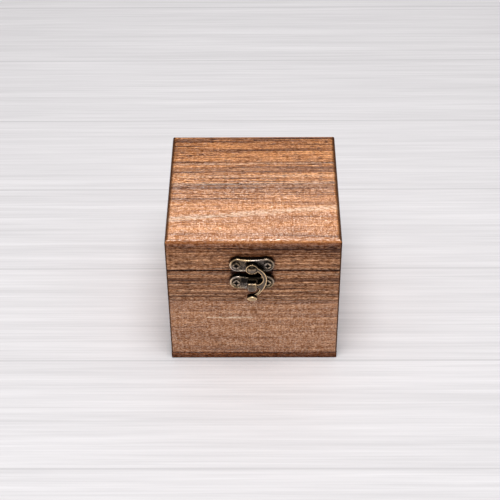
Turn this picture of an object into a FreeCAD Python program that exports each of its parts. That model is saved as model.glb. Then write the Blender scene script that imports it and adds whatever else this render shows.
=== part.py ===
import FreeCAD, Part
import math
import os

from FreeCAD import Vector

# A latch-type jack in the box: a small wooden box with a hinged lid, held shut by a swing-hook clasp,
# with a figure on a coil spring inside. Millimetres, +Z up, the front faces -Y,
# and the origin is the middle of the bottom face.

# Wooden case
box_width = 110.0
box_depth = 110.0
box_height = 103.0
lid_height = 24.4
wall_thickness = 6.0
base_thickness = 5.0
top_thickness = 4.2
rebate_depth = 3.0
seam_gap = 0.5
corner_round = 1.6
base_corner_round = 0.8
front_edge_round = 3.0
top_edge_round = 3.0
base_edge_round = 0.6

# Swing-hook clasp on the front
clasp_offset = -0.9
clasp_plate_length = 28.2
clasp_plate_height = 10.4
clasp_plate_thickness = 3.2
clasp_plate_bevel = 0.7
clasp_waist_depth = 1.1
clasp_rim = 1.0
clasp_recess_depth = 0.6
clasp_screw_spacing = 19.6
hook_plate_rise = 1.6
catch_plate_drop = 2.0
hook_standoff = 0.9
hook_thickness = 1.7
hook_play = 0.1
hook_eye_radius = 3.8
hook_bulge = 9.4
hook_length = 24.9
hook_nose_catch = 1.0
hook_nose_gap = 0.35
hook_nose_radius = 1.3
hook_tip_width = 6.4
hook_tip_height = 3.7
hook_tip_depth = 4.4
hook_tip_raise = 2.0
hook_tip_round = 0.9
rivet_drop = 1.2
rivet_tail_radius = 1.3
rivet_shoulder_radius = 2.2
rivet_shank_radius = 1.5
rivet_head_radius = 2.9
rivet_head_height = 1.5
tongue_width = 5.4
tongue_thickness = 1.0
tongue_reach = 3.85
tongue_drop = 6.0
tongue_above_centre = 1.8
tongue_bend_radius = 1.6
tongue_end_round = 2.0
tongue_slit = 0.4

# Outline of the swing hook: each point's share of the bulge, and of the length below the rivet
hook_outline = {
    "outer_root": (0.342, -0.055),
    "outer_shoulder": (0.80, 0.105),
    "outer_belly": (1.0, 0.36),
    "outer_hip": (0.872, 0.57),
    "outer_neck": (0.33, 0.885),
    "inner_neck": (0.17, 0.845),
    "heel": (0.415, 0.763),
    "chin": (0.51, 0.683),
    "throat": (0.63, 0.455),
    "inner_belly": (0.73, 0.324),
    "inner_shoulder": (0.63, 0.197),
    "inner_root": (0.353, 0.07),
}

# Butt hinges on the back, each with a stop tab
hinge_spacing = 60.0
hinge_length = 18.0
hinge_leaf_height = 9.5
hinge_leaf_thickness = 0.9
hinge_knuckle_radius = 1.7
hinge_pin_radius = 0.8
hinge_pin_fit = 0.05
hinge_standoff = 0.15
hinge_knuckle_gap = 0.2
hinge_leaf_clearance = 0.3
hinge_screw_spacing = 11.0
hinge_screw_inset = 3.4
lid_stop_angle = 105.0
stop_tab_reach = 4.2
stop_tab_thickness = 0.9
stop_tab_gap = 0.06

# Screws
clasp_screw_head_radius = 2.6
clasp_screw_head_height = 1.2
clasp_screw_shank_radius = 0.9
hinge_screw_head_radius = 1.6
hinge_screw_head_height = 0.7
hinge_screw_shank_radius = 0.8
screw_head_taper = 0.5
screw_recess_length = 1.1
screw_recess_width = 0.32
screw_recess_share = 0.6
screw_point_cover = 1.2
screw_fit = 0.05

# Spring and its two discs
seat_radius = 27.0
seat_thickness = 5.5
plate_radius = 24.0
plate_thickness = 5.5
disc_edge_round = 0.8
spring_radius = 20.0
spring_wire = 1.7
spring_least_gap = 0.55
spring_seat_gap = 0.1
spring_bend_radius = 2.2
spring_leg_cover = 1.5
spring_leg_fit = 0.08
quarters_per_turn = 4

# Figure
figure_headroom = 2.3
dowel_radius = 4.0
dowel_fit = 0.05
dowel_depth_in_head = 12.0
body_height = 10.0
body_foot_radius = 19.0
body_foot_height = 1.8
body_shoulder_radius = 10.5
body_shoulder_bulge = 1.6
head_radius = 18.0
head_flat_depth = 2.0
eye_radius = 1.7
eye_height = 1.6
eye_half_spacing = 6.2
nose_radius = 2.6
nose_drop = 3.0
bead_sink_share = 0.45
bead_fit = 0.05
ruff_radius = 23.0
ruff_thickness = 1.6
ruff_pleats = 14
ruff_pleat_height = 1.9
ruff_hub_margin = 1.2
ruff_bore_gap = 0.2
cap_rim_rise = 7.0
cap_peak = 7.8
cap_brim_thickness = 1.5
cap_tip_radius = 1.8
cap_gap = 0.2
cap_side_thickness = 1.5
cap_bead_radius = 3.2

# Places worked out from the sizes above
half_width = box_width / 2
half_depth = box_depth / 2
seam_height = box_height - lid_height
rim_height = seam_height - seam_gap / 2
lid_bottom = seam_height + seam_gap / 2
lid_underside = box_height - top_thickness
front_face = -half_depth
back_face = half_depth
up = Vector(0, 0, 1)
forward = Vector(0, -1, 0)
backward = Vector(0, 1, 0)


def block(x_low, x_high, y_low, y_high, z_low, z_high):
    """A rectangular solid between two corners."""
    corner = Vector(x_low, y_low, z_low)
    return Part.makeBox(x_high - x_low, y_high - y_low, z_high - z_low, corner)


def prism(edges, direction):
    """A closed outline of edges, pushed along a direction into a solid."""
    wire = Part.Wire(Part.__sortEdges__(edges))
    return Part.Face(wire).extrude(direction)


def line(start, end):
    return Part.makeLine(start, end)


def arc(start, middle, end):
    return Part.Arc(start, middle, end).toShape()


def revolve(edges):
    """A closed outline in the XZ plane, turned a full circle about Z."""
    wire = Part.Wire(Part.__sortEdges__(edges))
    return Part.Face(wire).revolve(Vector(0, 0, 0), up, 360)


def round_corners(shape, points, radius):
    """Round the upright edges of a board that stand on the given (x, y) corners."""
    chosen = []
    for edge in shape.Edges:
        first = edge.Vertexes[0].Point
        last = edge.Vertexes[-1].Point
        upright = abs(first.x - last.x) < 1e-6 and abs(first.y - last.y) < 1e-6
        if upright and any(abs(first.x - x) < 1e-6 and abs(first.y - y) < 1e-6 for x, y in points):
            chosen.append(edge)
    return shape.makeFillet(radius, chosen)


def side_profile(low, high, bottom, top, low_round, high_round, bottom_round, place):
    """A board's section with rounded edges; place turns (across, height) into a point in space."""
    slope = math.sqrt(0.5)
    edges = []
    corners = [
        (low, bottom, 1, 1, bottom_round),
        (high, bottom, -1, 1, bottom_round),
        (high, top, -1, -1, high_round),
        (low, top, 1, -1, low_round),
    ]
    starts = []
    for across, height, inward, upward, radius in corners:
        centre_across = across + inward * radius
        centre_height = height + upward * radius
        beside = place(across, centre_height)
        level = place(centre_across, height)
        if radius > 0:
            middle = place(centre_across - inward * radius * slope, centre_height - upward * radius * slope)
            edges.append(arc(beside, middle, level))
        starts.append((beside, level))
    edges.append(line(starts[0][1], starts[1][1]))
    edges.append(line(starts[1][0], starts[2][0]))
    edges.append(line(starts[2][1], starts[3][1]))
    edges.append(line(starts[3][0], starts[0][0]))
    return edges


def rounded_slab(bottom, top, front_round, other_round, bottom_round, plan_round):
    """A full-size board lying flat, with its top or bottom edges eased and its corners rounded."""
    across = side_profile(
        -half_depth, half_depth, bottom, top, front_round, other_round, bottom_round,
        lambda y, z: Vector(-half_width, y, z),
    )
    along = side_profile(
        -half_width, half_width, bottom, top, other_round, other_round, bottom_round,
        lambda x, z: Vector(x, -half_depth, z),
    )
    slab = prism(across, Vector(box_width, 0, 0)).common(prism(along, Vector(0, box_depth, 0)))
    plan = block(-half_width, half_width, -half_depth, half_depth, bottom, top)
    corners = [(x, y) for x in (-half_width, half_width) for y in (-half_depth, half_depth)]
    return slab.common(round_corners(plan, corners, plan_round))


def end_board(side, bottom, top):
    """A full-width front (side -1) or back (side 1) board, rebated at both ends for the side boards."""
    outer = side * half_depth
    inner = side * (half_depth - wall_thickness)
    board = block(-half_width, half_width, min(outer, inner), max(outer, inner), bottom, top)
    board = round_corners(board, [(-half_width, outer), (half_width, outer)], corner_round)
    step = side * (half_depth - wall_thickness + rebate_depth)
    for end in (-1, 1):
        x_edge = end * half_width
        x_step = end * (half_width - wall_thickness)
        rebate = block(
            min(x_edge, x_step), max(x_edge, x_step), min(inner, step), max(inner, step), bottom, top
        )
        board = board.cut(rebate)
    return board


def side_board(side, bottom, top):
    """A left (side -1) or right (side 1) board, housed in the rebates of the front and back boards."""
    outer = side * half_width
    inner = side * (half_width - wall_thickness)
    reach = half_depth - wall_thickness + rebate_depth
    return block(min(outer, inner), max(outer, inner), -reach, reach, bottom, top)


def turned_to(shape, outward):
    """Turn a shape made along +Z so that it points along an outward direction, about the origin."""
    turn = FreeCAD.Rotation(up, outward)
    turned = shape.copy()
    turned.Placement = FreeCAD.Placement(Vector(0, 0, 0), turn)
    return turned


def wood_screw(seat, outward, head_radius, head_height, shank_radius, reach):
    """A cross-recessed screw whose head sits on the point seat and whose shank goes in by reach."""
    head = Part.makeCone(head_radius, head_radius - screw_head_taper, head_height)
    recess_depth = head_height * screw_recess_share
    recess_length = head_radius * screw_recess_length
    recess_width = head_radius * screw_recess_width
    floor = head_height - recess_depth
    for long_x, long_y in ((recess_length, recess_width), (recess_width, recess_length)):
        bar = block(-long_x / 2, long_x / 2, -long_y / 2, long_y / 2, floor, head_height)
        head = head.cut(bar)
    point_length = shank_radius * 2
    shank = Part.makeCylinder(shank_radius, reach - point_length, Vector(0, 0, point_length - reach))
    point = Part.makeCone(0, shank_radius, point_length, Vector(0, 0, -reach))
    screw = turned_to(head.fuse(shank).fuse(point).removeSplitter(), outward)
    screw.translate(seat)
    return screw


def screw_hole(seat, outward, shank_radius, reach):
    """The clear hole for such a screw, from just outside its seat to its point."""
    hole = Part.makeCylinder(shank_radius + screw_fit, reach + screw_fit, Vector(0, 0, -reach - screw_fit))
    hole = turned_to(hole, outward)
    hole.translate(seat)
    return hole


# Clasp plates: two round lobes with a gently hollowed upper edge between them

clasp_lobe_radius = clasp_plate_height / 2
clasp_lobe_x = clasp_plate_length / 2 - clasp_lobe_radius
hook_plate_centre = lid_bottom + hook_plate_rise + clasp_lobe_radius
catch_plate_centre = rim_height - catch_plate_drop - clasp_lobe_radius
clasp_plate_front = front_face - clasp_plate_thickness
clasp_face = clasp_plate_front + clasp_recess_depth
clasp_screw_reach = clasp_plate_thickness - clasp_recess_depth + wall_thickness - screw_point_cover


def clasp_outline(centre_height, y, inset):
    """The outline of a clasp plate at a depth y, drawn in from its full size by an inset."""
    lobe = clasp_lobe_radius - inset
    waist = lobe - clasp_waist_depth
    hollow_radius = (clasp_lobe_x ** 2 + waist ** 2 - lobe ** 2) / (2 * clasp_waist_depth)
    hollow_centre = hollow_radius + waist
    share = lobe / (hollow_radius + lobe)
    touch_x = clasp_lobe_x * (1 - share)
    touch_z = hollow_centre * share
    end_x = clasp_lobe_x + lobe

    def spot(x, z):
        return Vector(clasp_offset + x, y, centre_height + z)

    return [
        arc(spot(-touch_x, touch_z), spot(0, waist), spot(touch_x, touch_z)),
        arc(spot(touch_x, touch_z), spot(end_x, 0), spot(clasp_lobe_x, -lobe)),
        line(spot(clasp_lobe_x, -lobe), spot(-clasp_lobe_x, -lobe)),
        arc(spot(-clasp_lobe_x, -lobe), spot(-end_x, 0), spot(-touch_x, touch_z)),
    ]


def clasp_plate(centre_height):
    """One cast plate of the clasp: deep sides, an eased front edge, and a sunk face inside a raised rim."""
    plate = prism(clasp_outline(centre_height, front_face, 0), forward * clasp_plate_thickness)
    front_edges = []
    for edge in plate.Edges:
        box = edge.BoundBox
        if abs(box.YMin - clasp_plate_front) < 1e-6 and abs(box.YMax - clasp_plate_front) < 1e-6:
            front_edges.append(edge)
    plate = plate.makeFillet(clasp_plate_bevel, front_edges)
    plate = plate.cut(prism(clasp_outline(centre_height, clasp_face, clasp_rim), forward * clasp_recess_depth))
    for seat in clasp_screw_seats(centre_height):
        plate = plate.cut(screw_hole(seat, forward, clasp_screw_shank_radius, clasp_screw_reach))
    return plate


def clasp_screw_seats(centre_height):
    """Where the two screw heads of a clasp plate sit."""
    half = clasp_screw_spacing / 2
    return [Vector(clasp_offset + x, clasp_face, centre_height) for x in (-half, half)]


def clasp_screws(centre_height):
    screws = []
    for seat in clasp_screw_seats(centre_height):
        screws.append(wood_screw(
            seat, forward, clasp_screw_head_radius, clasp_screw_head_height,
            clasp_screw_shank_radius, clasp_screw_reach,
        ))
    return screws


def drilled_for_clasp(board, centre_height):
    for seat in clasp_screw_seats(centre_height):
        board = board.cut(screw_hole(seat, forward, clasp_screw_shank_radius, clasp_screw_reach))
    return board


# Swing hook: an eye on a shouldered rivet, a crescent arm with an inner nose, and a finger pad at the end

rivet_height = hook_plate_centre - rivet_drop
hook_back = clasp_plate_front - hook_standoff
hook_front = hook_back - hook_thickness
tongue_top = catch_plate_centre + tongue_above_centre
tongue_side = tongue_width / 2


def hook_spot(x, z):
    """A point on the hook's back plane, from the rivet's axis."""
    return Vector(clasp_offset + x, hook_back, rivet_height + z)


def outline_spot(name):
    across, down = hook_outline[name]
    return hook_spot(across * hook_bulge, -down * hook_length)


def swing_hook():
    """The crescent arm, whose round nose sits under the tongue and behind its lip when closed."""
    nose_x = tongue_side - hook_nose_catch + hook_nose_radius
    nose_z = tongue_top - tongue_thickness - hook_nose_gap - hook_nose_radius - rivet_height
    nose_top = hook_spot(nose_x, nose_z + hook_nose_radius)
    nose_tip = hook_spot(nose_x - hook_nose_radius, nose_z)
    nose_bottom = hook_spot(nose_x, nose_z - hook_nose_radius)
    tip_centre = hook_spot(0, hook_tip_raise - hook_length)
    edges = [
        line(hook_spot(0, 0), outline_spot("outer_root")),
        arc(outline_spot("outer_root"), outline_spot("outer_shoulder"), outline_spot("outer_belly")),
        arc(outline_spot("outer_belly"), outline_spot("outer_hip"), outline_spot("outer_neck")),
        line(outline_spot("outer_neck"), tip_centre),
        line(tip_centre, outline_spot("inner_neck")),
        arc(outline_spot("inner_neck"), outline_spot("heel"), outline_spot("chin")),
        line(outline_spot("chin"), nose_bottom),
        arc(nose_bottom, nose_tip, nose_top),
        arc(nose_top, outline_spot("throat"), outline_spot("inner_belly")),
        arc(outline_spot("inner_belly"), outline_spot("inner_shoulder"), outline_spot("inner_root")),
        line(outline_spot("inner_root"), hook_spot(0, 0)),
    ]
    arm = prism(edges, Vector(0, -hook_thickness, 0))
    eye = Part.makeCylinder(hook_eye_radius, hook_thickness, hook_spot(0, 0), forward)
    bore = Part.makeCylinder(
        rivet_shank_radius + hook_play / 2, hook_thickness, hook_spot(0, 0), forward
    )
    return arm.fuse(eye).fuse(finger_tip(tip_centre)).removeSplitter().cut(bore)


def finger_tip(centre):
    """The oval finger pad at the hook's end, which stands forward of the arm and is eased along both rims."""
    outline = Part.Ellipse(
        centre + Vector(hook_tip_width / 2, 0, 0), centre + Vector(0, 0, hook_tip_height / 2), centre
    ).toShape()
    tip = Part.Face(Part.Wire([outline])).extrude(forward * hook_tip_depth)
    rims = [edge for edge in tip.Edges if edge.Closed]
    return tip.makeFillet(hook_tip_round, rims)


def rivet_point(y):
    return Vector(clasp_offset, y, rivet_height)


def hook_rivet():
    shank_start = hook_back + hook_play
    tail = Part.makeCylinder(
        rivet_tail_radius, clasp_plate_thickness - clasp_recess_depth, rivet_point(front_face), forward
    )
    shoulder = Part.makeCylinder(
        rivet_shoulder_radius, clasp_face - shank_start, rivet_point(clasp_face), forward
    )
    shank_length = hook_thickness + 2 * hook_play
    shank = Part.makeCylinder(rivet_shank_radius, shank_length, rivet_point(shank_start), forward)
    dome_radius = (rivet_head_radius ** 2 + rivet_head_height ** 2) / (2 * rivet_head_height)
    head_back = shank_start - shank_length
    dome = Part.makeSphere(dome_radius, rivet_point(head_back + dome_radius - rivet_head_height))
    head_slice = Part.makeCylinder(
        rivet_head_radius + rivet_shank_radius, rivet_head_height, rivet_point(head_back), forward
    )
    head = dome.common(head_slice)
    return tail.fuse(shoulder).fuse(shank).fuse(head).removeSplitter()


def hook_plate():
    hole = Part.makeCylinder(
        rivet_tail_radius + screw_fit, clasp_plate_thickness, rivet_point(front_face), forward
    )
    return clasp_plate(hook_plate_centre).cut(hole)


def catch_plate():
    """The lower plate, whose middle is cut free as a tongue, bent forward and turned down as a lip."""
    left = clasp_offset - tongue_side
    right = clasp_offset + tongue_side
    notch = block(
        left - tongue_slit, right + tongue_slit, clasp_plate_front, front_face,
        catch_plate_centre - clasp_plate_height, tongue_top - tongue_thickness,
    )
    reach = clasp_plate_front - tongue_reach
    inner_radius = tongue_bend_radius - tongue_thickness
    slope = math.sqrt(0.5)
    bend_y = reach + tongue_bend_radius
    bend_z = tongue_top - tongue_bend_radius
    low = tongue_top - tongue_drop

    def spot(y, z):
        return Vector(left, y, z)

    edges = [
        line(spot(front_face, tongue_top), spot(bend_y, tongue_top)),
        arc(
            spot(bend_y, tongue_top),
            spot(bend_y - tongue_bend_radius * slope, bend_z + tongue_bend_radius * slope),
            spot(reach, bend_z),
        ),
        line(spot(reach, bend_z), spot(reach, low)),
        line(spot(reach, low), spot(reach + tongue_thickness, low)),
        line(spot(reach + tongue_thickness, low), spot(reach + tongue_thickness, bend_z)),
        arc(
            spot(reach + tongue_thickness, bend_z),
            spot(bend_y - inner_radius * slope, bend_z + inner_radius * slope),
            spot(bend_y, bend_z + inner_radius),
        ),
        line(spot(bend_y, bend_z + inner_radius), spot(front_face, bend_z + inner_radius)),
        line(spot(front_face, bend_z + inner_radius), spot(front_face, tongue_top)),
    ]
    tongue = prism(edges, Vector(tongue_width, 0, 0))
    end_edges = []
    for edge in tongue.Edges:
        box = edge.BoundBox
        across = box.YLength > tongue_thickness / 2 and box.XLength < 1e-6 and box.ZLength < 1e-6
        if across and abs(box.ZMin - low) < 1e-6:
            end_edges.append(edge)
    tongue = tongue.makeFillet(tongue_end_round, end_edges)
    return clasp_plate(catch_plate_centre).cut(notch).fuse(tongue).removeSplitter()


# Hinges: the box leaf carries the two outer knuckles and the lid leaf the middle one

hinge_axis_y = back_face + hinge_standoff + hinge_knuckle_radius
knuckle_length = hinge_length / 3
hinge_screw_seat = back_face + hinge_leaf_thickness
hinge_screw_reach = hinge_leaf_thickness + wall_thickness - screw_point_cover
hinge_screw_height = hinge_leaf_height - hinge_screw_inset


def hinge_screw_seats(centre_x, side):
    """Where the screw heads of a leaf sit: side -1 is the box leaf, 1 the lid leaf."""
    half = hinge_screw_spacing / 2
    height = seam_height + side * hinge_screw_height
    return [Vector(centre_x + x, hinge_screw_seat, height) for x in (-half, half)]


def hinge_screws(side):
    screws = []
    for centre_x in hinge_centres():
        for seat in hinge_screw_seats(centre_x, side):
            screws.append(wood_screw(
                seat, backward, hinge_screw_head_radius, hinge_screw_head_height,
                hinge_screw_shank_radius, hinge_screw_reach,
            ))
    return screws


def hinge_centres():
    return (-hinge_spacing / 2, hinge_spacing / 2)


def drilled_for_hinges(board, side):
    for centre_x in hinge_centres():
        for seat in hinge_screw_seats(centre_x, side):
            board = board.cut(screw_hole(seat, backward, hinge_screw_shank_radius, hinge_screw_reach))
    return board


def hinge_leaf(centre_x, side, knuckles):
    """A leaf with its knuckles, each given as its start and end along X from the hinge's middle."""
    half = hinge_length / 2
    far = seam_height + side * hinge_leaf_height
    near = seam_height + side * (hinge_knuckle_radius + hinge_leaf_clearance)
    leaf_back = back_face + hinge_leaf_thickness
    leaf = block(centre_x - half, centre_x + half, back_face, leaf_back, min(far, near), max(far, near))
    for start, end in knuckles:
        strap = block(
            centre_x + start, centre_x + end, back_face, leaf_back,
            min(near, seam_height), max(near, seam_height),
        )
        tube = Part.makeCylinder(
            hinge_knuckle_radius, end - start, Vector(centre_x + start, hinge_axis_y, seam_height),
            Vector(1, 0, 0),
        )
        leaf = leaf.fuse(strap).fuse(tube)
    if side > 0:
        start, end = knuckles[0]
        leaf = leaf.fuse(stop_tab(centre_x + start, centre_x + end))
    bore = Part.makeCylinder(
        hinge_pin_radius + hinge_pin_fit, hinge_length,
        Vector(centre_x - half, hinge_axis_y, seam_height), Vector(1, 0, 0),
    )
    leaf = leaf.cut(bore).removeSplitter()
    for seat in hinge_screw_seats(centre_x, side):
        leaf = leaf.cut(screw_hole(seat, backward, hinge_screw_shank_radius, hinge_screw_reach))
    return leaf


def stop_tab(x_low, x_high):
    """The tab on the lid's knuckle that lies against the box leaf when the lid is fully open."""
    face = back_face + hinge_leaf_thickness + stop_tab_gap
    tab = block(
        x_low, x_high, face, face + stop_tab_thickness,
        seam_height - stop_tab_reach, seam_height - hinge_pin_radius,
    )
    tab.rotate(Vector(0, hinge_axis_y, seam_height), Vector(1, 0, 0), lid_stop_angle)
    return tab


def box_knuckles():
    half = hinge_length / 2
    inner = knuckle_length / 2 + hinge_knuckle_gap
    return [(-half, -inner), (inner, half)]


def lid_knuckles():
    return [(-knuckle_length / 2, knuckle_length / 2)]


def hinge_pin(centre_x):
    start = Vector(centre_x - hinge_length / 2, hinge_axis_y, seam_height)
    return Part.makeCylinder(hinge_pin_radius, hinge_length, start, Vector(1, 0, 0))


# The figure's stack is measured down from the lid, and the spring fills what is left above its seat

figure_top = lid_underside - figure_headroom
bead_rise = math.sqrt(cap_bead_radius ** 2 - cap_tip_radius ** 2)
cap_tip = figure_top - cap_bead_radius - bead_rise
head_centre = cap_tip - cap_peak - cap_gap - head_radius
cap_rim = head_centre + cap_rim_rise
head_bottom = head_centre - head_radius + head_flat_depth
head_flat_radius = math.sqrt(head_radius ** 2 - (head_radius - head_flat_depth) ** 2)
ruff_bottom = head_bottom - ruff_thickness
body_bottom = ruff_bottom - body_height
plate_bottom = body_bottom - plate_thickness
seat_top = base_thickness + seat_thickness
spring_start = seat_top + spring_seat_gap + spring_wire / 2
spring_finish = plate_bottom - spring_seat_gap - spring_wire / 2
spring_rise = spring_finish - spring_start
spring_turns = int(spring_rise / (spring_wire + spring_least_gap))
spring_pitch = spring_rise / spring_turns


def helix_point(turn):
    angle = 2 * math.pi * turn
    height = spring_start + spring_pitch * turn
    return Vector(spring_radius * math.cos(angle), spring_radius * math.sin(angle), height)


def helix_tangent(turn):
    angle = 2 * math.pi * turn
    climb = spring_pitch / (2 * math.pi)
    return Vector(-spring_radius * math.sin(angle), spring_radius * math.cos(angle), climb).normalize()


def tangent_arc(start, tangent, end):
    """The arc that leaves start along a tangent and reaches end."""
    chord = end - start
    along = chord * (1 / chord.Length)
    lean = tangent - along * tangent.dot(along)
    angle = math.acos(max(-1, min(1, tangent.dot(along))))
    sag = chord.Length / 2 * math.tan(angle / 2)
    middle = start + chord * 0.5 + lean.normalize() * sag
    return arc(start, middle, end)


def biarc(start, start_tangent, end, end_tangent):
    """Two arcs that join two points and their tangents smoothly."""
    chord = end - start
    total = start_tangent + end_tangent
    turn = 2 * (1 - start_tangent.dot(end_tangent))
    reach = chord.dot(total)
    length = (-reach + math.sqrt(reach ** 2 + turn * chord.dot(chord))) / turn
    joint = (start + end + (start_tangent - end_tangent) * length) * 0.5
    back = tangent_arc(end, end_tangent * -1, joint)
    back.reverse()
    return [tangent_arc(start, start_tangent, joint), back]


def spring_leg(turn, direction):
    """The bent end of the spring: direction -1 goes down into the seat, 1 goes up into the plate."""
    point = helix_point(turn)
    tangent = helix_tangent(turn)
    level = Vector(tangent.x, tangent.y, 0).normalize()
    thickness = seat_thickness if direction < 0 else plate_thickness
    bend = point + level * (direction * spring_bend_radius) + up * (direction * spring_bend_radius)
    sunk = spring_bend_radius - spring_wire / 2 - spring_seat_gap
    tip = bend + up * (direction * (thickness - spring_leg_cover - sunk))
    if direction < 0:
        return [line(tip, bend)] + biarc(bend, up, point, tangent)
    return biarc(point, tangent, bend, up) + [line(bend, tip)]


def tube_along(edges, radius):
    """A round tube along a chain of edges, whose first edge starts at the chain's free end."""
    path = Part.Wire(edges)
    first = edges[0]
    start = first.valueAt(first.FirstParameter)
    heading = first.tangentAt(first.FirstParameter)
    ring = Part.Wire(Part.makeCircle(radius, start, heading))
    return path.makePipeShell([ring], True, False)


def coil_spring():
    edges = spring_leg(0, -1)
    step = 1 / quarters_per_turn
    for quarter in range(spring_turns * quarters_per_turn):
        first = quarter * step
        last = first + step
        edges += biarc(helix_point(first), helix_tangent(first), helix_point(last), helix_tangent(last))
    edges += spring_leg(spring_turns, 1)
    return tube_along(edges, spring_wire / 2)


def spring_self_gap():
    """The least clear space between neighbouring turns, measured on points of the wire's middle line."""
    samples_per_turn = 48
    count = spring_turns * samples_per_turn
    points = [helix_point(index / samples_per_turn) for index in range(count + 1)]
    nearest = min(
        (points[first] - points[last]).Length
        for first in range(count + 1)
        for last in range(first + samples_per_turn // 2, count + 1)
    )
    return nearest - spring_wire


def eased_disc(radius, thickness, bottom):
    """A wooden disc with both rims eased."""
    disc = Part.makeCylinder(radius, thickness, Vector(0, 0, bottom))
    rims = [edge for edge in disc.Edges if edge.Length > 2 * thickness and edge.Closed]
    return disc.makeFillet(disc_edge_round, rims)


def spring_seat():
    leg_hole = tube_along(spring_leg(0, -1), spring_wire / 2 + spring_leg_fit)
    return eased_disc(seat_radius, seat_thickness, base_thickness).cut(leg_hole)


def dowel_hole(bottom, top):
    return Part.makeCylinder(dowel_radius + dowel_fit, top - bottom, Vector(0, 0, bottom))


def spring_plate():
    leg_hole = tube_along(spring_leg(spring_turns, 1), spring_wire / 2 + spring_leg_fit)
    disc = eased_disc(plate_radius, plate_thickness, plate_bottom)
    return disc.cut(leg_hole).cut(dowel_hole(plate_bottom, body_bottom))


def neck_dowel():
    height = head_bottom + dowel_depth_in_head - plate_bottom
    return Part.makeCylinder(dowel_radius, height, Vector(0, 0, plate_bottom))


def figure_body():
    """The turned shoulders of the figure, a low dome with a straight foot."""
    foot = Vector(body_foot_radius, 0, body_bottom + body_foot_height)
    shoulder = Vector(body_shoulder_radius, 0, ruff_bottom)
    halfway = (foot + shoulder) * 0.5
    slant = shoulder - foot
    outward = Vector(slant.z, 0, -slant.x).normalize()
    edges = [
        line(Vector(0, 0, body_bottom), Vector(body_foot_radius, 0, body_bottom)),
        line(Vector(body_foot_radius, 0, body_bottom), foot),
        arc(foot, halfway + outward * body_shoulder_bulge, shoulder),
        line(shoulder, Vector(0, 0, ruff_bottom)),
        line(Vector(0, 0, ruff_bottom), Vector(0, 0, body_bottom)),
    ]
    return revolve(edges).cut(dowel_hole(body_bottom, ruff_bottom))


def ruff():
    """The pleated felt collar, clamped between the shoulders and the head."""
    hub = head_flat_radius + ruff_hub_margin
    bore = dowel_radius + ruff_bore_gap
    folds = 2 * ruff_pleats
    sections = []
    for fold in range(folds):
        angle = 2 * math.pi * fold / folds
        lift = ruff_pleat_height if fold % 2 else -ruff_pleat_height
        outline = [
            (bore, 0), (hub, 0), (ruff_radius, lift),
            (ruff_radius, lift + ruff_thickness), (hub, ruff_thickness), (bore, ruff_thickness),
        ]
        points = []
        for radius, height in outline:
            points.append(Vector(radius * math.cos(angle), radius * math.sin(angle), ruff_bottom + height))
        sections.append(points)
    faces = []
    for fold, section in enumerate(sections):
        following = sections[(fold + 1) % folds]
        for corner, point in enumerate(section):
            after = (corner + 1) % len(section)
            near = line(point, section[after])
            far = line(following[corner], following[after])
            faces.append(Part.makeRuledSurface(near, far))
    shell = Part.makeShell(faces)
    shell.sewShape()
    return Part.makeSolid(Part.Shell(shell.Faces))


def face_centre(x, z, radius):
    """The middle of a bead that is sunk into the front of the head."""
    out = head_radius + radius * (1 - 2 * bead_sink_share)
    y = -math.sqrt(out ** 2 - x ** 2 - z ** 2)
    return Vector(x, y, head_centre + z)


def eye_centres():
    return [face_centre(x, eye_height, eye_radius) for x in (-eye_half_spacing, eye_half_spacing)]


def nose_centre():
    return face_centre(0, -nose_drop, nose_radius)


def head():
    ball = Part.makeSphere(head_radius, Vector(0, 0, head_centre))
    keep = Part.makeCylinder(head_radius, 2 * head_radius, Vector(0, 0, head_bottom))
    ball = ball.common(keep).cut(dowel_hole(head_bottom, head_bottom + dowel_depth_in_head))
    for centre in eye_centres():
        ball = ball.cut(Part.makeSphere(eye_radius + bead_fit, centre))
    return ball.cut(Part.makeSphere(nose_radius + bead_fit, nose_centre()))


def eyes():
    return [Part.makeSphere(eye_radius, centre) for centre in eye_centres()]


def nose():
    return Part.makeSphere(nose_radius, nose_centre())


def cap():
    """The pointed turned cap, hollowed to fit the head."""
    inner = head_radius + cap_gap
    rim_inner = math.sqrt(inner ** 2 - cap_rim_rise ** 2)
    rim_outer = rim_inner + cap_brim_thickness
    lean = math.radians(45) + math.atan2(cap_rim_rise, rim_inner) / 2
    crown = Vector(0, 0, head_centre + inner)
    outer = inner + cap_side_thickness
    side_middle = Vector(outer * math.cos(lean), 0, head_centre + outer * math.sin(lean))
    edges = [
        arc(
            Vector(rim_inner, 0, cap_rim),
            Vector(inner * math.cos(lean), 0, head_centre + inner * math.sin(lean)),
            crown,
        ),
        line(crown, Vector(0, 0, cap_tip)),
        line(Vector(0, 0, cap_tip), Vector(cap_tip_radius, 0, cap_tip)),
        arc(Vector(cap_tip_radius, 0, cap_tip), side_middle, Vector(rim_outer, 0, cap_rim)),
        line(Vector(rim_outer, 0, cap_rim), Vector(rim_inner, 0, cap_rim)),
    ]
    return revolve(edges)


def cap_bead():
    ball = Part.makeSphere(cap_bead_radius, Vector(0, 0, cap_tip + bead_rise))
    keep = Part.makeCylinder(cap_bead_radius, 2 * cap_bead_radius, Vector(0, 0, cap_tip))
    return ball.common(keep)


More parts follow.
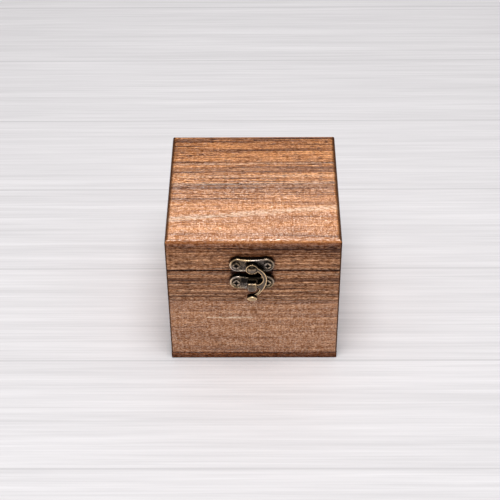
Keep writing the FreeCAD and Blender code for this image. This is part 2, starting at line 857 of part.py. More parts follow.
def carcass():
    """The five boards of the box and the five of the lid."""
    front = drilled_for_clasp(end_board(-1, base_thickness, rim_height), catch_plate_centre)
    back = drilled_for_hinges(end_board(1, base_thickness, rim_height), -1)
    lid_front = drilled_for_clasp(end_board(-1, lid_bottom, lid_underside), hook_plate_centre)
    lid_back = drilled_for_hinges(end_board(1, lid_bottom, lid_underside), 1)
    return {
        "base_board": rounded_slab(0, base_thickness, 0, 0, base_edge_round, base_corner_round),
        "front_wall": front,
        "back_wall": back,
        "left_wall": side_board(-1, base_thickness, rim_height),
        "right_wall": side_board(1, base_thickness, rim_height),
        "lid_top": rounded_slab(
            lid_underside, box_height, front_edge_round, top_edge_round, 0, corner_round
        ),
        "lid_front_rail": lid_front,
        "lid_back_rail": lid_back,
        "lid_left_rail": side_board(-1, lid_bottom, lid_underside),
        "lid_right_rail": side_board(1, lid_bottom, lid_underside),
    }


def clasp():
    return {
        "hook_plate": hook_plate(),
        "hook_plate_screws": Part.makeCompound(clasp_screws(hook_plate_centre)),
        "hook_rivet": hook_rivet(),
        "hook": swing_hook(),
        "catch_plate": catch_plate(),
        "catch_plate_screws": Part.makeCompound(clasp_screws(catch_plate_centre)),
    }


def hinges():
    pieces = {
        "hinge_box_screws": Part.makeCompound(hinge_screws(-1)),
        "hinge_lid_screws": Part.makeCompound(hinge_screws(1)),
    }
    for side_name, centre_x in zip(("left", "right"), hinge_centres()):
        pieces[side_name + "_hinge_box_leaf"] = hinge_leaf(centre_x, -1, box_knuckles())
        pieces[side_name + "_hinge_lid_leaf"] = hinge_leaf(centre_x, 1, lid_knuckles())
        pieces[side_name + "_hinge_pin"] = hinge_pin(centre_x)
    return pieces


def jack():
    return {
        "spring_seat": spring_seat(),
        "spring": coil_spring(),
        "spring_plate": spring_plate(),
        "neck_dowel": neck_dowel(),
        "figure_body": figure_body(),
        "ruff": ruff(),
        "head": head(),
        "eyes": Part.makeCompound(eyes()),
        "nose": nose(),
        "cap": cap(),
        "cap_bead": cap_bead(),
    }


def main():
    os.makedirs("parts", exist_ok=True)
    for group in (carcass(), clasp(), hinges(), jack()):
        for name, shape in group.items():
            shape.exportStep(f"parts/{name}.step")
            print(f"{name}: {len(shape.Solids)} solid, valid {shape.isValid()}, {shape.Volume:.1f} mm3")
    print(f"spring: {spring_turns} turns, pitch {spring_pitch:.3f}, least self gap {spring_self_gap():.3f} mm")
    print(f"hinge axis y {hinge_axis_y:.3f} z {seam_height:.3f}, rivet x {clasp_offset} z {rivet_height:.3f}")
    print(f"spring from {seat_top:.3f} to {plate_bottom:.3f}, figure top {figure_top:.3f}")


main()
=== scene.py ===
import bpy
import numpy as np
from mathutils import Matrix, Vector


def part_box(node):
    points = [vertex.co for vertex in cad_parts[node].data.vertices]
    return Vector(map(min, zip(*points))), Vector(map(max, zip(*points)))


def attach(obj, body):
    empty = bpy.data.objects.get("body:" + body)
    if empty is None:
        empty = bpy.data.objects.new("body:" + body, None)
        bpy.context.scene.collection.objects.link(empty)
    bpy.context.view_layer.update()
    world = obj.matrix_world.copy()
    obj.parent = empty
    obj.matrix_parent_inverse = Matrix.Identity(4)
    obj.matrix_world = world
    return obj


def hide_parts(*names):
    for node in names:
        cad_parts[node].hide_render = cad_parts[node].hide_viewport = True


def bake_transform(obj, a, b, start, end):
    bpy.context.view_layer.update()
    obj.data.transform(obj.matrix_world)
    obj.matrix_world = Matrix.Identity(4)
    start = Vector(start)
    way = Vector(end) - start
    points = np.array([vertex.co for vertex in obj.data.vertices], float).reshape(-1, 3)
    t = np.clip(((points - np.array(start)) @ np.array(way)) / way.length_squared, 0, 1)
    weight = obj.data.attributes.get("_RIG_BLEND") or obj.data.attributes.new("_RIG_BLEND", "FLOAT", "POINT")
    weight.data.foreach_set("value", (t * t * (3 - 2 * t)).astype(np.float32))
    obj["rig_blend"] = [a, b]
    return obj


bl_info = {
    "name": "Jack in the Box Finish",
    "version": (1, 0, 0),
    "blender": (4, 5, 0),
    "location": "3D View > Sidebar > Jack Box",
    "description": "Dresses a walnut jack in the box: boards, bronze clasp and hinges, spring and figure",
    "category": "Object",
}

import math

import bpy
from bpy.props import FloatProperty, FloatVectorProperty, IntProperty, PointerProperty
from mathutils import Matrix, Vector

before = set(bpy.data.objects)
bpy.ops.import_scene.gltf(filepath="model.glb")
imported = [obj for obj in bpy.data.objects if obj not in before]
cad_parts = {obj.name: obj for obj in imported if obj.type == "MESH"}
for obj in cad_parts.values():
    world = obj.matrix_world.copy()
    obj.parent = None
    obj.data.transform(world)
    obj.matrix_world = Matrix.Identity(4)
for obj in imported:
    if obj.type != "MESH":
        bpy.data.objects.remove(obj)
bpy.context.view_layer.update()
MM = 0.001
X, Y, Z = 0, 1, 2

# Pieces that share a finish
FRONT_BOARDS = ("front_wall", "lid_front_rail")
BACK_BOARDS = ("back_wall", "lid_back_rail")
SIDE_BOARDS = ("left_wall", "right_wall", "lid_left_rail", "lid_right_rail")
HINGE_METAL = (
    "left_hinge_box_leaf", "left_hinge_lid_leaf", "left_hinge_pin",
    "right_hinge_box_leaf", "right_hinge_lid_leaf", "right_hinge_pin",
)
CLASP_PLATES = ("hook_plate", "catch_plate")
CLASP_SCREWS = ("hook_plate_screws", "catch_plate_screws")
HINGE_SCREWS = ("hinge_box_screws", "hinge_lid_screws")
BEECH_PIECES = ("spring_seat", "spring_plate", "neck_dowel")

# Parts of the walnut's figure: repeats per metre along and across the grain, noise detail and roughness
SWAY = (9.0, 22.0, 2.0, 0.5)
BANDS = (2.4, 110.0, 4.0, 0.62)
STREAKS = (9.0, 560.0, 3.0, 0.65)
HAIRS = (10.0, 1500.0, 1.0, 0.6)
FLECKS = (480.0, 2200.0, 2.0, 0.7)
PORES = (210.0, 1700.0, 1.0, 0.5)
RIPPLE = (1250.0, 210.0, 1.0, 0.55)
SPECKLE = (1000.0, 2300.0, 2.0, 0.7)
CLOUD = (10.0, 24.0, 2.0, 0.5)
PORES_OFFSET = (0.3, 0.7, 0.1)
SWAY_REACH = 4.5 * MM

# Tone of the walnut: how its figure is mixed, coloured, and evened out where it is calm
TONE_SHARES = (0.26, 0.36, 0.38)
TONE_STOPS = (0.425, 0.49, 0.57)
CALM_SHARE = 0.45
CALM_TONE = 0.54
CALM_CLOUD = (0.38, 0.66)
CALM_WANDER = 0.55

# Strength of each part of the figure where it is lively, and what the calm adds to it
FLECK_STRENGTH = (1.15, -0.45)
RIPPLE_STRENGTH = (0.12, 0.16)
SPECKLE_STRENGTH = (0.35, 0.35)
PIT_STRENGTH = (0.85, -0.45)

# Where each part of the figure begins and is full
GRAIN_LIMITS = (0.36, 0.64)
SPECKLE_LIMITS = (0.34, 0.66)
PIT_LIMITS = (0.57, 0.66)
STREAK_BREAKS = (0.35, 0.65)
GLINT_LIMITS = (0.80, 1.40)
CREVICE_LIMITS = (0.40, 0.92)

# How square to an axis a surface is where it counts as flat, as an edge and as sawn
FLAT_FACING = (0.93, 0.99)
EDGE_FACING = (0.85, 0.25)
SAWN_FACING = (0.15, 0.60)

# Factors and offsets that turn a mask into a shade or a shine
CLOUD_SHADE = (0.30, 0.85)
CREVICE_SHADE = (0.88, 0.12)
GLINT_SHINE = (2.2, 0.10)
POLISH_SHINE = (0.50, 0.16)
FLECK_GLOSS = -0.20
SAWN_SHARE = 0.90
SAWN_DULLING = 0.95
DARKEST_SHADE = 0.02
PIT_RELIEF = 0.8

# Dark joint lines, and the painted shadows and painted shade in crevices on the boards
JOINT_LINE = (1.00 * MM, 0.30 * MM)
JOINT_DEPTH = 0.94
OVERHANG_SHADOW = (6.5 * MM, 1.0 * MM)
OVERHANG_DEPTH = 0.42
SHADOW_RIM = 1.5 * MM
CREVICE_REACH = 9.0 * MM
SHADOW_WARMTH = (0.85, 1.08, 1.28)

# Streaks of the boards: tone, middle and width in millimetres, strength
PALE_STREAK = (1.0, 0.74, 0.52)
DARK_STREAK = (0.10, 0.042, 0.024)
TOP_BANDS = (
    (DARK_STREAK, 45.0, 1.6, 0.45), (PALE_STREAK, 23.3, 1.6, 0.30), (DARK_STREAK, 16.6, 4.2, 0.75),
    (PALE_STREAK, 10.0, 2.0, 0.30), (PALE_STREAK, 2.6, 2.6, 0.25), (DARK_STREAK, -2.0, 4.0, 0.65),
)
FRONT_BANDS = (
    (DARK_STREAK, 94.0, 0.9, 0.55), (DARK_STREAK, 88.7, 1.3, 0.60), (DARK_STREAK, 86.0, 1.0, 0.50),
    (DARK_STREAK, 83.4, 1.1, 0.60), (DARK_STREAK, 70.3, 2.2, 0.60), (DARK_STREAK, 63.2, 1.2, 0.55),
    (DARK_STREAK, 58.9, 1.4, 0.65), (DARK_STREAK, 56.0, 1.1, 0.80), (DARK_STREAK, 52.9, 1.1, 0.90),
    # A wide faint dark band: the front is a little darker towards its foot
    (DARK_STREAK, 16.0, 22.0, 0.20),
    (PALE_STREAK, 80.2, 0.9, 0.22), (PALE_STREAK, 75.4, 1.2, 0.22), (PALE_STREAK, 66.6, 1.2, 0.20),
    (PALE_STREAK, 61.2, 1.1, 0.22), (PALE_STREAK, 57.4, 0.8, 0.24), (PALE_STREAK, 54.4, 0.8, 0.24),
)
WANDERING_STREAK = (PALE_STREAK, -27.9, 3.6, 0.62)
SHORT_STREAK = (PALE_STREAK, 37.5, 1.0, 1.0)
WANDERING_SLOPE = 0.11
TOP_SLOPE = 0.012
FRONT_SLOPE = -0.004
WHOLE_BOARD = (-0.06, 0.06)
SHORT_SPAN = (-0.032, 0.001)
STREAK_CORE = 0.2
STREAK_FADE = 3.0 * MM

# Zones of the boards: axis, where they start and where they are full
TOP_CALM = (Y, 0.004, -0.030)
TOP_POLISH = (Y, 0.050, -0.045)
FRONT_CALM = (Z, 0.0545, 0.0515)

# Tints of the boards; the upright ones are paler and bluer than the top, partly their own tone and partly a
# painted sheen
PLAIN_TINT = (1.0, 1.0, 1.0)
UPRIGHT_TINT = (0.88, 1.02, 1.48)
BASE_TINT = (0.52, 0.43, 0.36)

# Bronze: noise scale, detail and roughness of its three kinds of unevenness
GRIME = (900.0, 4.0, 0.6)
MOTTLE = (150.0, 3.0, 0.6)
TARNISH = (70.0, 2.0, 0.5)
TARNISH_SPREAD = 0.11

# Bronze: where wear, and painted shade over the patina in hollows, begin and are full
EDGE_TURN = (0.004, 0.045)
RIM_STEEP = (0.40, 0.62)
RIM_FLAT = (0.99, 0.94)
WALL_FACING = (0.45, 0.15)
FACE_DEPTH = (0.25 * MM, 0.10 * MM)
MOTTLE_LIMITS = (0.28, 0.62)
PATCH_LIMITS = (0.42, 0.75)
OPEN_HOLLOW = (0.55, 0.92)
RUBBED_HOLLOW = (0.36, 0.64)
HOLLOW_REACH = 2.5 * MM
SHADE_AREA_RIM = 1.0 * MM
SHADE_AREA_DEPTH = 0.96
SHADE_AND_PATINA_TONE = 0.15
SLOT_CORE = 0.85
DULLED_SHARE = (0.55, 0.45)
BRONZE_METALLIC = 0.95
BRONZE_ROUGH = (0.22, 0.22)
RUBBED_GLOSS = -0.14

# The painted face, in shares of the head's radius
FACE_FRONT = (-0.2, -0.45)
CHEEK_SIDE = 0.56
CHEEK_DROP = 0.22
CHEEK_FADE = (0.26, 0.05)
BLUSH = 0.55
SMILE_RADIUS = 0.62
SMILE_RISE = 0.10
SMILE_LINE = (0.045, 0.025)
SMILE_ENDS = (0.34, 0.29)
SMILE_BELOW = (0.0, -0.2)

# Mesh of the spring and of the ruff
WIRE_SIDES = 14
STEPS_PER_TURN = 56
BEND_STEPS = 8
WELD = 0.01 * MM
POINTS_PER_PLEAT = 16
RUFF_RINGS = 10

# Stage: the soft lights as name, place, aim, breadth, power and whether they light matt surfaces too
SOFTBOXES = (
    ("softbox_key", (0.0, -0.23, 1.18), (0.0, 0.0, 0.05), (0.70, 0.70), 10.0, True),
    ("softbox_sheen", (0.0, 1.083, 1.14), (0.0, 0.0, 0.10), (1.3, 0.14), 4.6, False),
    ("softbox_edge", (0.0, 0.55, 1.30), (0.0, 0.0, 0.10), (1.3, 0.25), 6.0, False),
)
WORLD_COLOUR = (1.0, 0.98, 0.97, 1.0)
WORLD_STRENGTH = 0.42
SENSOR_WIDTH = 36.0
NEAREST_SEEN = 0.01
FLOOR_BREADTH = 6.0
FLOOR_DROP = 0.05 * MM
FLOOR_JOINT = (0.488, 0.497)


def colour_prop(name, description, default):
    return FloatVectorProperty(
        name=name, description=description, default=default, size=3, min=0.0, max=1.0, subtype="COLOR"
    )


def length_prop(name, description, default):
    return FloatProperty(name=name, description=description, default=default, unit="LENGTH", precision=5)


def place_prop(name, description, default):
    return FloatVectorProperty(
        name=name, description=description, default=default, size=3, subtype="TRANSLATION", precision=5
    )


class WalnutFinish(bpy.types.PropertyGroup):
    """Colours and gloss of the case boards."""

    light: colour_prop("Light grain", "Palest bands of the walnut", (0.720, 0.300, 0.100))
    middle: colour_prop("Middle grain", "Body colour of the walnut", (0.430, 0.160, 0.050))
    dark: colour_prop("Dark grain", "Darkest streaks of the walnut", (0.085, 0.027, 0.010))
    end_grain: colour_prop("End grain", "Sawn ends of the boards", (0.060, 0.022, 0.009))
    roughness: FloatProperty(
        name="Roughness", description="Roughness of the oiled surface between its flecks", default=0.35,
        min=0.0, max=1.0, subtype="FACTOR",
    )


class BronzeFinish(bpy.types.PropertyGroup):
    """Colours and wear of the antique clasp and hinges."""

    patina: colour_prop("Patina", "Dark skin of the metal", (0.050, 0.040, 0.034))
    worn: colour_prop("Worn edges", "Bright metal where handling has rubbed it", (1.000, 0.700, 0.390))
    dull: colour_prop("Dull edges", "Greyer metal where rubbed edges have dulled", (0.740, 0.620, 0.530))
    wear_width: length_prop("Wear width", "How far the wear reaches in from an edge", 0.8 * MM)
    slot_reach: length_prop("Slot reach", "How far a cross slot's dirt reaches from its centre", 4.0 * MM)


class FigureFinish(bpy.types.PropertyGroup):
    """Colours of the figure and sizes of its spring and ruff."""

    skin: colour_prop("Head paint", "Paint of the ball head", (0.720, 0.440, 0.280))
    cheek: colour_prop("Cheeks and mouth", "Paint of the cheeks and the mouth", (0.520, 0.090, 0.060))
    eyes: colour_prop("Eye paint", "Paint of the eyes", (0.012, 0.010, 0.010))
    robe: colour_prop("Robe paint", "Paint of the turned shoulders", (0.430, 0.030, 0.025))
    cap: colour_prop("Cap paint", "Paint of the pointed cap", (0.030, 0.120, 0.075))
    bead: colour_prop("Bead paint", "Paint of the bead on the cap", (0.720, 0.400, 0.050))
    felt: colour_prop("Felt", "Wool felt of the ruff", (0.700, 0.580, 0.400))
    beech_dark: colour_prop("Dark beech", "Darker bands of the beech", (0.460, 0.290, 0.160))
    beech_light: colour_prop("Light beech", "Paler bands of the beech", (0.660, 0.460, 0.280))
    beech_ray: colour_prop("Beech flecks", "Short ray flecks of the beech", (0.330, 0.190, 0.100))
    steel: colour_prop("Spring steel", "Drawn wire of the spring", (0.480, 0.470, 0.460))
    wire: length_prop("Wire", "Thickness of the spring wire", 1.7 * MM)
    turns: IntProperty(name="Turns", description="Turns of the spring", default=8, min=1)
    leg_bend: length_prop("Leg bend", "Radius of the bends at the spring's ends", 2.2 * MM)
    pleats: IntProperty(name="Pleats", description="Pleats of the ruff", default=14, min=3)


class StageLook(bpy.types.PropertyGroup):
    """Floor and camera."""

    floor: colour_prop("Floor", "Colour of the floor", (0.800, 0.785, 0.805))
    board_width: length_prop("Board width", "Width of the floor boards", 0.0915)
    board_start: length_prop("Board start", "Where a joint between two floor boards runs", 0.034)
    lens: FloatProperty(name="Lens", description="Focal length", default=90.965, unit="CAMERA")
    eye: place_prop("Eye", "Place of the camera", (0.005119, -0.642739, 0.611456))
    target: place_prop("Target", "Point the camera looks at", (-0.002678, 0.0, 0.047526))
    roll: FloatProperty(
        name="Roll", description="Roll of the camera", default=math.radians(-0.605), subtype="ANGLE"
    )


# Shorthand for building a material's nodes


def feed(tree, socket, value):
    """Link a socket to another, or set its own value."""
    if isinstance(value, bpy.types.NodeSocket):
        tree.links.new(value, socket)
    elif hasattr(value, "__len__"):
        values = tuple(value)
        socket.default_value = values + (1.0,) if socket.type == "RGBA" and len(values) == 3 else values
    else:
        socket.default_value = value


def add_node(tree, kind, settings=None, **inputs):
    """A new node with its settings, and with each named input fed."""
    node = tree.nodes.new(kind)
    for key, value in (settings or {}).items():
        setattr(node, key, value)
    for key, value in inputs.items():
        feed(tree, node.inputs[key.replace("_", " ")], value)
    return node


def calculate(tree, operation, *values, clamp=False):
    node = add_node(tree, "ShaderNodeMath", {"operation": operation, "use_clamp": clamp})
    for socket, value in zip(node.inputs, values):
        feed(tree, socket, value)
    return node.outputs[0]


def times(tree, first, second):
    return calculate(tree, "MULTIPLY", first, second)


def scaled(tree, value, factor, offset):
    """factor times the value, plus offset."""
    return calculate(tree, "MULTIPLY_ADD", value, factor, offset)


def dimmed(tree, mask, depth):
    """1 where the mask is 0, and less by depth where it is 1."""
    return scaled(tree, mask, -depth, 1.0)


def away_from(tree, value, middle):
    """How far a value is from the middle, on either side."""
    return calculate(tree, "ABSOLUTE", calculate(tree, "SUBTRACT", value, middle))


def length_of(tree, across, rise):
    """The length of a line that goes so far across and so far up."""
    squares = calculate(tree, "ADD", times(tree, across, across), times(tree, rise, rise))
    return calculate(tree, "SQRT", squares)


def combine(tree, operation, first, second):
    """Two vectors added, or their dot product."""
    node = add_node(tree, "ShaderNodeVectorMath", {"operation": operation})
    feed(tree, node.inputs[0], first)
    feed(tree, node.inputs[1], second)
    return node.outputs["Value" if operation == "DOT_PRODUCT" else "Vector"]


def split(tree, vector):
    """The X, Y and Z of a vector."""
    return add_node(tree, "ShaderNodeSeparateXYZ", Vector=vector).outputs


def blend_colour(tree, factor, first, second, blend="MIX"):
    node = add_node(tree, "ShaderNodeMix", {"data_type": "RGBA", "blend_type": blend})
    feed(tree, node.inputs[0], factor)
    feed(tree, node.inputs[6], first)
    feed(tree, node.inputs[7], second)
    return node.outputs[2]


def noise(tree, vector, scale, detail, roughness, distortion=0.0):
    node = add_node(
        tree, "ShaderNodeTexNoise", Vector=vector, Scale=scale, Detail=detail, Roughness=roughness,
        Distortion=distortion,
    )
    return node.outputs[0]


def stretch(tree, vector, scale, location=(0.0, 0.0, 0.0)):
    return add_node(tree, "ShaderNodeMapping", Vector=vector, Scale=scale, Location=location).outputs[0]


def stretched_noise(tree, vector, scale, detail, roughness, location=(0.0, 0.0, 0.0)):
    """Noise that repeats by its own number of times per metre along each axis."""
    return noise(tree, stretch(tree, vector, scale, location), 1.0, detail, roughness)


def ramp(tree, factor, stops):
    """A colour ramp from (place, colour) stops."""
    node = add_node(tree, "ShaderNodeValToRGB", Fac=factor)
    band = node.color_ramp
    half_way = 0.5
    while len(band.elements) < len(stops):
        band.elements.new(half_way)
    for element, (place, colour) in zip(band.elements, stops):
        element.position = place
        element.color = (*colour, 1.0)
    return node.outputs[0]


def between(tree, value, low, high):
    """0 at low, 1 at high, and smooth between."""
    node = add_node(
        tree, "ShaderNodeMapRange", {"interpolation_type": "SMOOTHSTEP"}, Value=value, From_Min=low,
        From_Max=high,
    )
    return node.outputs[0]


def swing(tree, value, low, high):
    """A value between low and high turned into a swing to both sides of 0."""
    return calculate(tree, "SUBTRACT", between(tree, value, low, high), 0.5)


def inside(tree, axes, area, soft):
    """1 inside an area, given by its lowest and highest (X, Z) corner, and 0 outside, with a soft rim."""
    share = 1.0
    for axis, low, high in zip((X, Z), *area):
        for limit, inward in ((low, 1), (high, -1)):
            step = between(tree, axes[axis], limit, limit + inward * soft)
            share = times(tree, share, step)
    return share


def openness(tree, reach):
    """1 where the surface is open, and less where something near it closes it in."""
    node = add_node(tree, "ShaderNodeAmbientOcclusion", {"samples": 8}, Distance=reach)
    return node.outputs["AO"]


def eased_edges(tree, radius, samples=6):
    """The surface direction as if the edges were rounded."""
    return add_node(tree, "ShaderNodeBevel", {"samples": samples}, Radius=radius).outputs[0]


def own_normal(tree):
    """The surface direction in the piece's own frame, so it turns with the piece."""
    return tree.nodes.new("ShaderNodeTexCoord").outputs["Normal"]


def relieve(tree, shader, height, strength, distance, **normal):
    """Give the shader a small relief from a height, over its own or an eased surface direction."""
    bump = add_node(tree, "ShaderNodeBump", Strength=strength, Distance=distance, Height=height, **normal)
    feed(tree, shader.inputs["Normal"], bump.outputs[0])


def toned(colour, share):
    """A colour times a share, at most white."""
    return tuple(min(1.0, channel * share) for channel in colour)


def start_material(name):
    """A new material with its tree, its shader and the piece's own coordinates."""
    material = bpy.data.materials.new(name)
    material.use_nodes = True
    tree = material.node_tree
    shader = tree.nodes["Principled BSDF"]
    place = tree.nodes.new("ShaderNodeTexCoord").outputs["Object"]
    return material, tree, shader, place


def paint(nodes, material):
    """Give CAD nodes or pieces one material."""
    for item in nodes:
        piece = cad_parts[item] if isinstance(item, str) else item
        piece.data.materials.clear()
        piece.data.materials.append(material)


# Finishes


def walnut(
    name, grain, tint, calm_zone=None, polish_zone=None, shift=(0.0, 0.0, 0.0), joints=(), marks=(),
    edge_shade=0.0, painted_shadows=(), overhang=None,
):
    """Oiled walnut for boards whose grain runs along X or Y.

    A zone is (axis, where it starts, where it is full): the calm zone is rippled, not streaky, and the
    polish zone is where the oil has been rubbed to a shine. joints lists the heights of dark joint lines,
    marks the streaks laid over the figure, and edge_shade is how much painted shade darkens the faces that
    do not look straight up or down. The list of painted shadows gives how deep each shadow that the clasp
    throws on the board is, and its lowest and highest (X, Z) corner, and overhang is the height under which
    the edge above throws a painted soft shadow.
    """
    look = bpy.context.scene.jack_walnut
    material, tree, shader, place = start_material(name)
    axes = split(tree, place)
    moved = stretch(tree, place, (1.0, 1.0, 1.0), shift)

    def figure(source, part, location=(0.0, 0.0, 0.0)):
        slow, fast, detail, roughness = part
        scale = (slow, fast, fast) if grain == X else (fast, slow, fast)
        return stretched_noise(tree, source, scale, detail, roughness, location)

    sway = calculate(tree, "SUBTRACT", figure(moved, SWAY), 0.5)
    sway = times(tree, sway, SWAY_REACH)
    bend = add_node(tree, "ShaderNodeCombineXYZ", X=sway, Y=sway, Z=sway).outputs[0]
    bent = combine(tree, "ADD", moved, bend)
    bands, streaks, hairs, flecks = (figure(bent, part) for part in (BANDS, STREAKS, HAIRS, FLECKS))
    pores = figure(bent, PORES, PORES_OFFSET)
    ripple, speckle, cloud = (figure(moved, part) for part in (RIPPLE, SPECKLE, CLOUD))
    if calm_zone is None:
        calm = between(tree, cloud, *CALM_CLOUD)
    else:
        axis, begins, full = calm_zone
        calm = between(tree, scaled(tree, sway, CALM_WANDER, axes[axis]), begins, full)

    def by_calm(strength):
        lively, change = strength
        return scaled(tree, calm, change, lively)

    # Colour of the figure and its pores
    tone = 0.0
    for part, share in zip((bands, streaks, hairs), TONE_SHARES):
        tone = scaled(tree, part, share, tone)
    steady = add_node(tree, "ShaderNodeMix", Factor=times(tree, calm, CALM_SHARE), A=tone, B=CALM_TONE)
    stops = tuple(zip(TONE_STOPS, (look.dark, look.middle, look.light)))
    colour = ramp(tree, steady.outputs[0], stops)
    pits = between(tree, pores, *PIT_LIMITS)
    colour = blend_colour(tree, times(tree, pits, by_calm(PIT_STRENGTH)), colour, look.dark)

    # Light and shade of the fine grain
    facing = [calculate(tree, "ABSOLUTE", part) for part in split(tree, own_normal(tree))]
    flat = between(tree, calculate(tree, "MAXIMUM", facing[Y], facing[Z]), *FLAT_FACING)
    shade = 1.0
    for part, limits, strength in (
        (flecks, GRAIN_LIMITS, by_calm(FLECK_STRENGTH)),
        (ripple, GRAIN_LIMITS, times(tree, by_calm(RIPPLE_STRENGTH), flat)),
        (speckle, SPECKLE_LIMITS, by_calm(SPECKLE_STRENGTH)),
    ):
        shade = times(tree, shade, scaled(tree, swing(tree, part, *limits), strength, 1.0))
    glint = scaled(tree, between(tree, shade, *GLINT_LIMITS), *GLINT_SHINE)

    # Painted edge shade, dark joints, painted shadows and painted crevice shade
    # Painted shade on the faces that do not look straight up or down, such as the lid top's rounded front
    # edge
    if edge_shade > 0.0:
        side_on = between(tree, facing[Z], *EDGE_FACING)
        shade = times(tree, shade, dimmed(tree, side_on, edge_shade))
    shade = times(tree, shade, scaled(tree, cloud, *CLOUD_SHADE))
    for joint in joints:
        gap = between(tree, away_from(tree, axes[Z], joint), *JOINT_LINE)
        shade = times(tree, shade, dimmed(tree, gap, JOINT_DEPTH))
    if overhang is not None:
        under = between(tree, axes[Z], *(overhang - drop for drop in OVERHANG_SHADOW))
        shade = times(tree, shade, dimmed(tree, under, OVERHANG_DEPTH))
    # Painted shadows that the clasp throws on the board; the streaks laid later stay out of them
    unshadowed = 1.0
    for depth, *area in painted_shadows:
        painted_shadow = inside(tree, axes, area, SHADOW_RIM)
        unshadowed = times(tree, unshadowed, dimmed(tree, painted_shadow, depth))
    shade = times(tree, shade, unshadowed)
    # Painted shade in the crevices and next to the pieces that stand close to the board
    crevice = between(tree, openness(tree, CREVICE_REACH), *CREVICE_LIMITS)
    shade = times(tree, shade, scaled(tree, crevice, *CREVICE_SHADE))
    shade = calculate(tree, "MAXIMUM", shade, DARKEST_SHADE)
    red, green, blue = (
        times(tree, calculate(tree, "POWER", shade, warmth), channel)
        for warmth, channel in zip(SHADOW_WARMTH, tint)
    )
    shading = add_node(tree, "ShaderNodeCombineColor", Red=red, Green=green, Blue=blue).outputs[0]
    colour = blend_colour(tree, 1.0, colour, shading, "MULTIPLY")
    for mark in marks:
        broken = hairs if mark["tone"] == DARK_STREAK else flecks
        patchy = times(tree, between(tree, broken, *STREAK_BREAKS), unshadowed)
        colour = lay_streak(tree, axes, patchy, colour, **mark)
    sawn = between(tree, facing[grain], *SAWN_FACING)
    colour = blend_colour(tree, times(tree, sawn, SAWN_SHARE), colour, look.end_grain)
    feed(tree, shader.inputs["Base Color"], colour)

    # Gloss and relief
    feed(tree, shader.inputs["Roughness"], scaled(tree, flecks, FLECK_GLOSS, look.roughness))
    relief = calculate(tree, "SUBTRACT", flecks, times(tree, pits, PIT_RELIEF))
    eased = eased_edges(tree, radius=0.35 * MM)
    relieve(tree, shader, relief, strength=0.5, distance=0.14 * MM, Normal=eased)
    polish = calm
    if polish_zone is not None:
        axis, begins, full = polish_zone
        polish = between(tree, axes[axis], begins, full)
    shine = times(tree, scaled(tree, polish, *POLISH_SHINE), dimmed(tree, sawn, SAWN_DULLING))
    feed(tree, shader.inputs["Specular IOR Level"], times(tree, shine, glint))
    return material


def lay_streak(tree, axes, patchy, colour, tone, across, centre, slope, width, span, strength):
    """A streak along X: it crosses the axis across at centre, drifts by slope and ends at the span."""
    drift = scaled(tree, axes[X], slope, centre)
    off = away_from(tree, axes[across], drift)
    streak = times(tree, between(tree, off, width, STREAK_CORE * width), patchy)
    for end, inward in zip(span, (1, -1)):
        streak = times(tree, streak, between(tree, axes[X], end, end + inward * STREAK_FADE))
    return blend_colour(tree, times(tree, streak, strength), colour, tone)


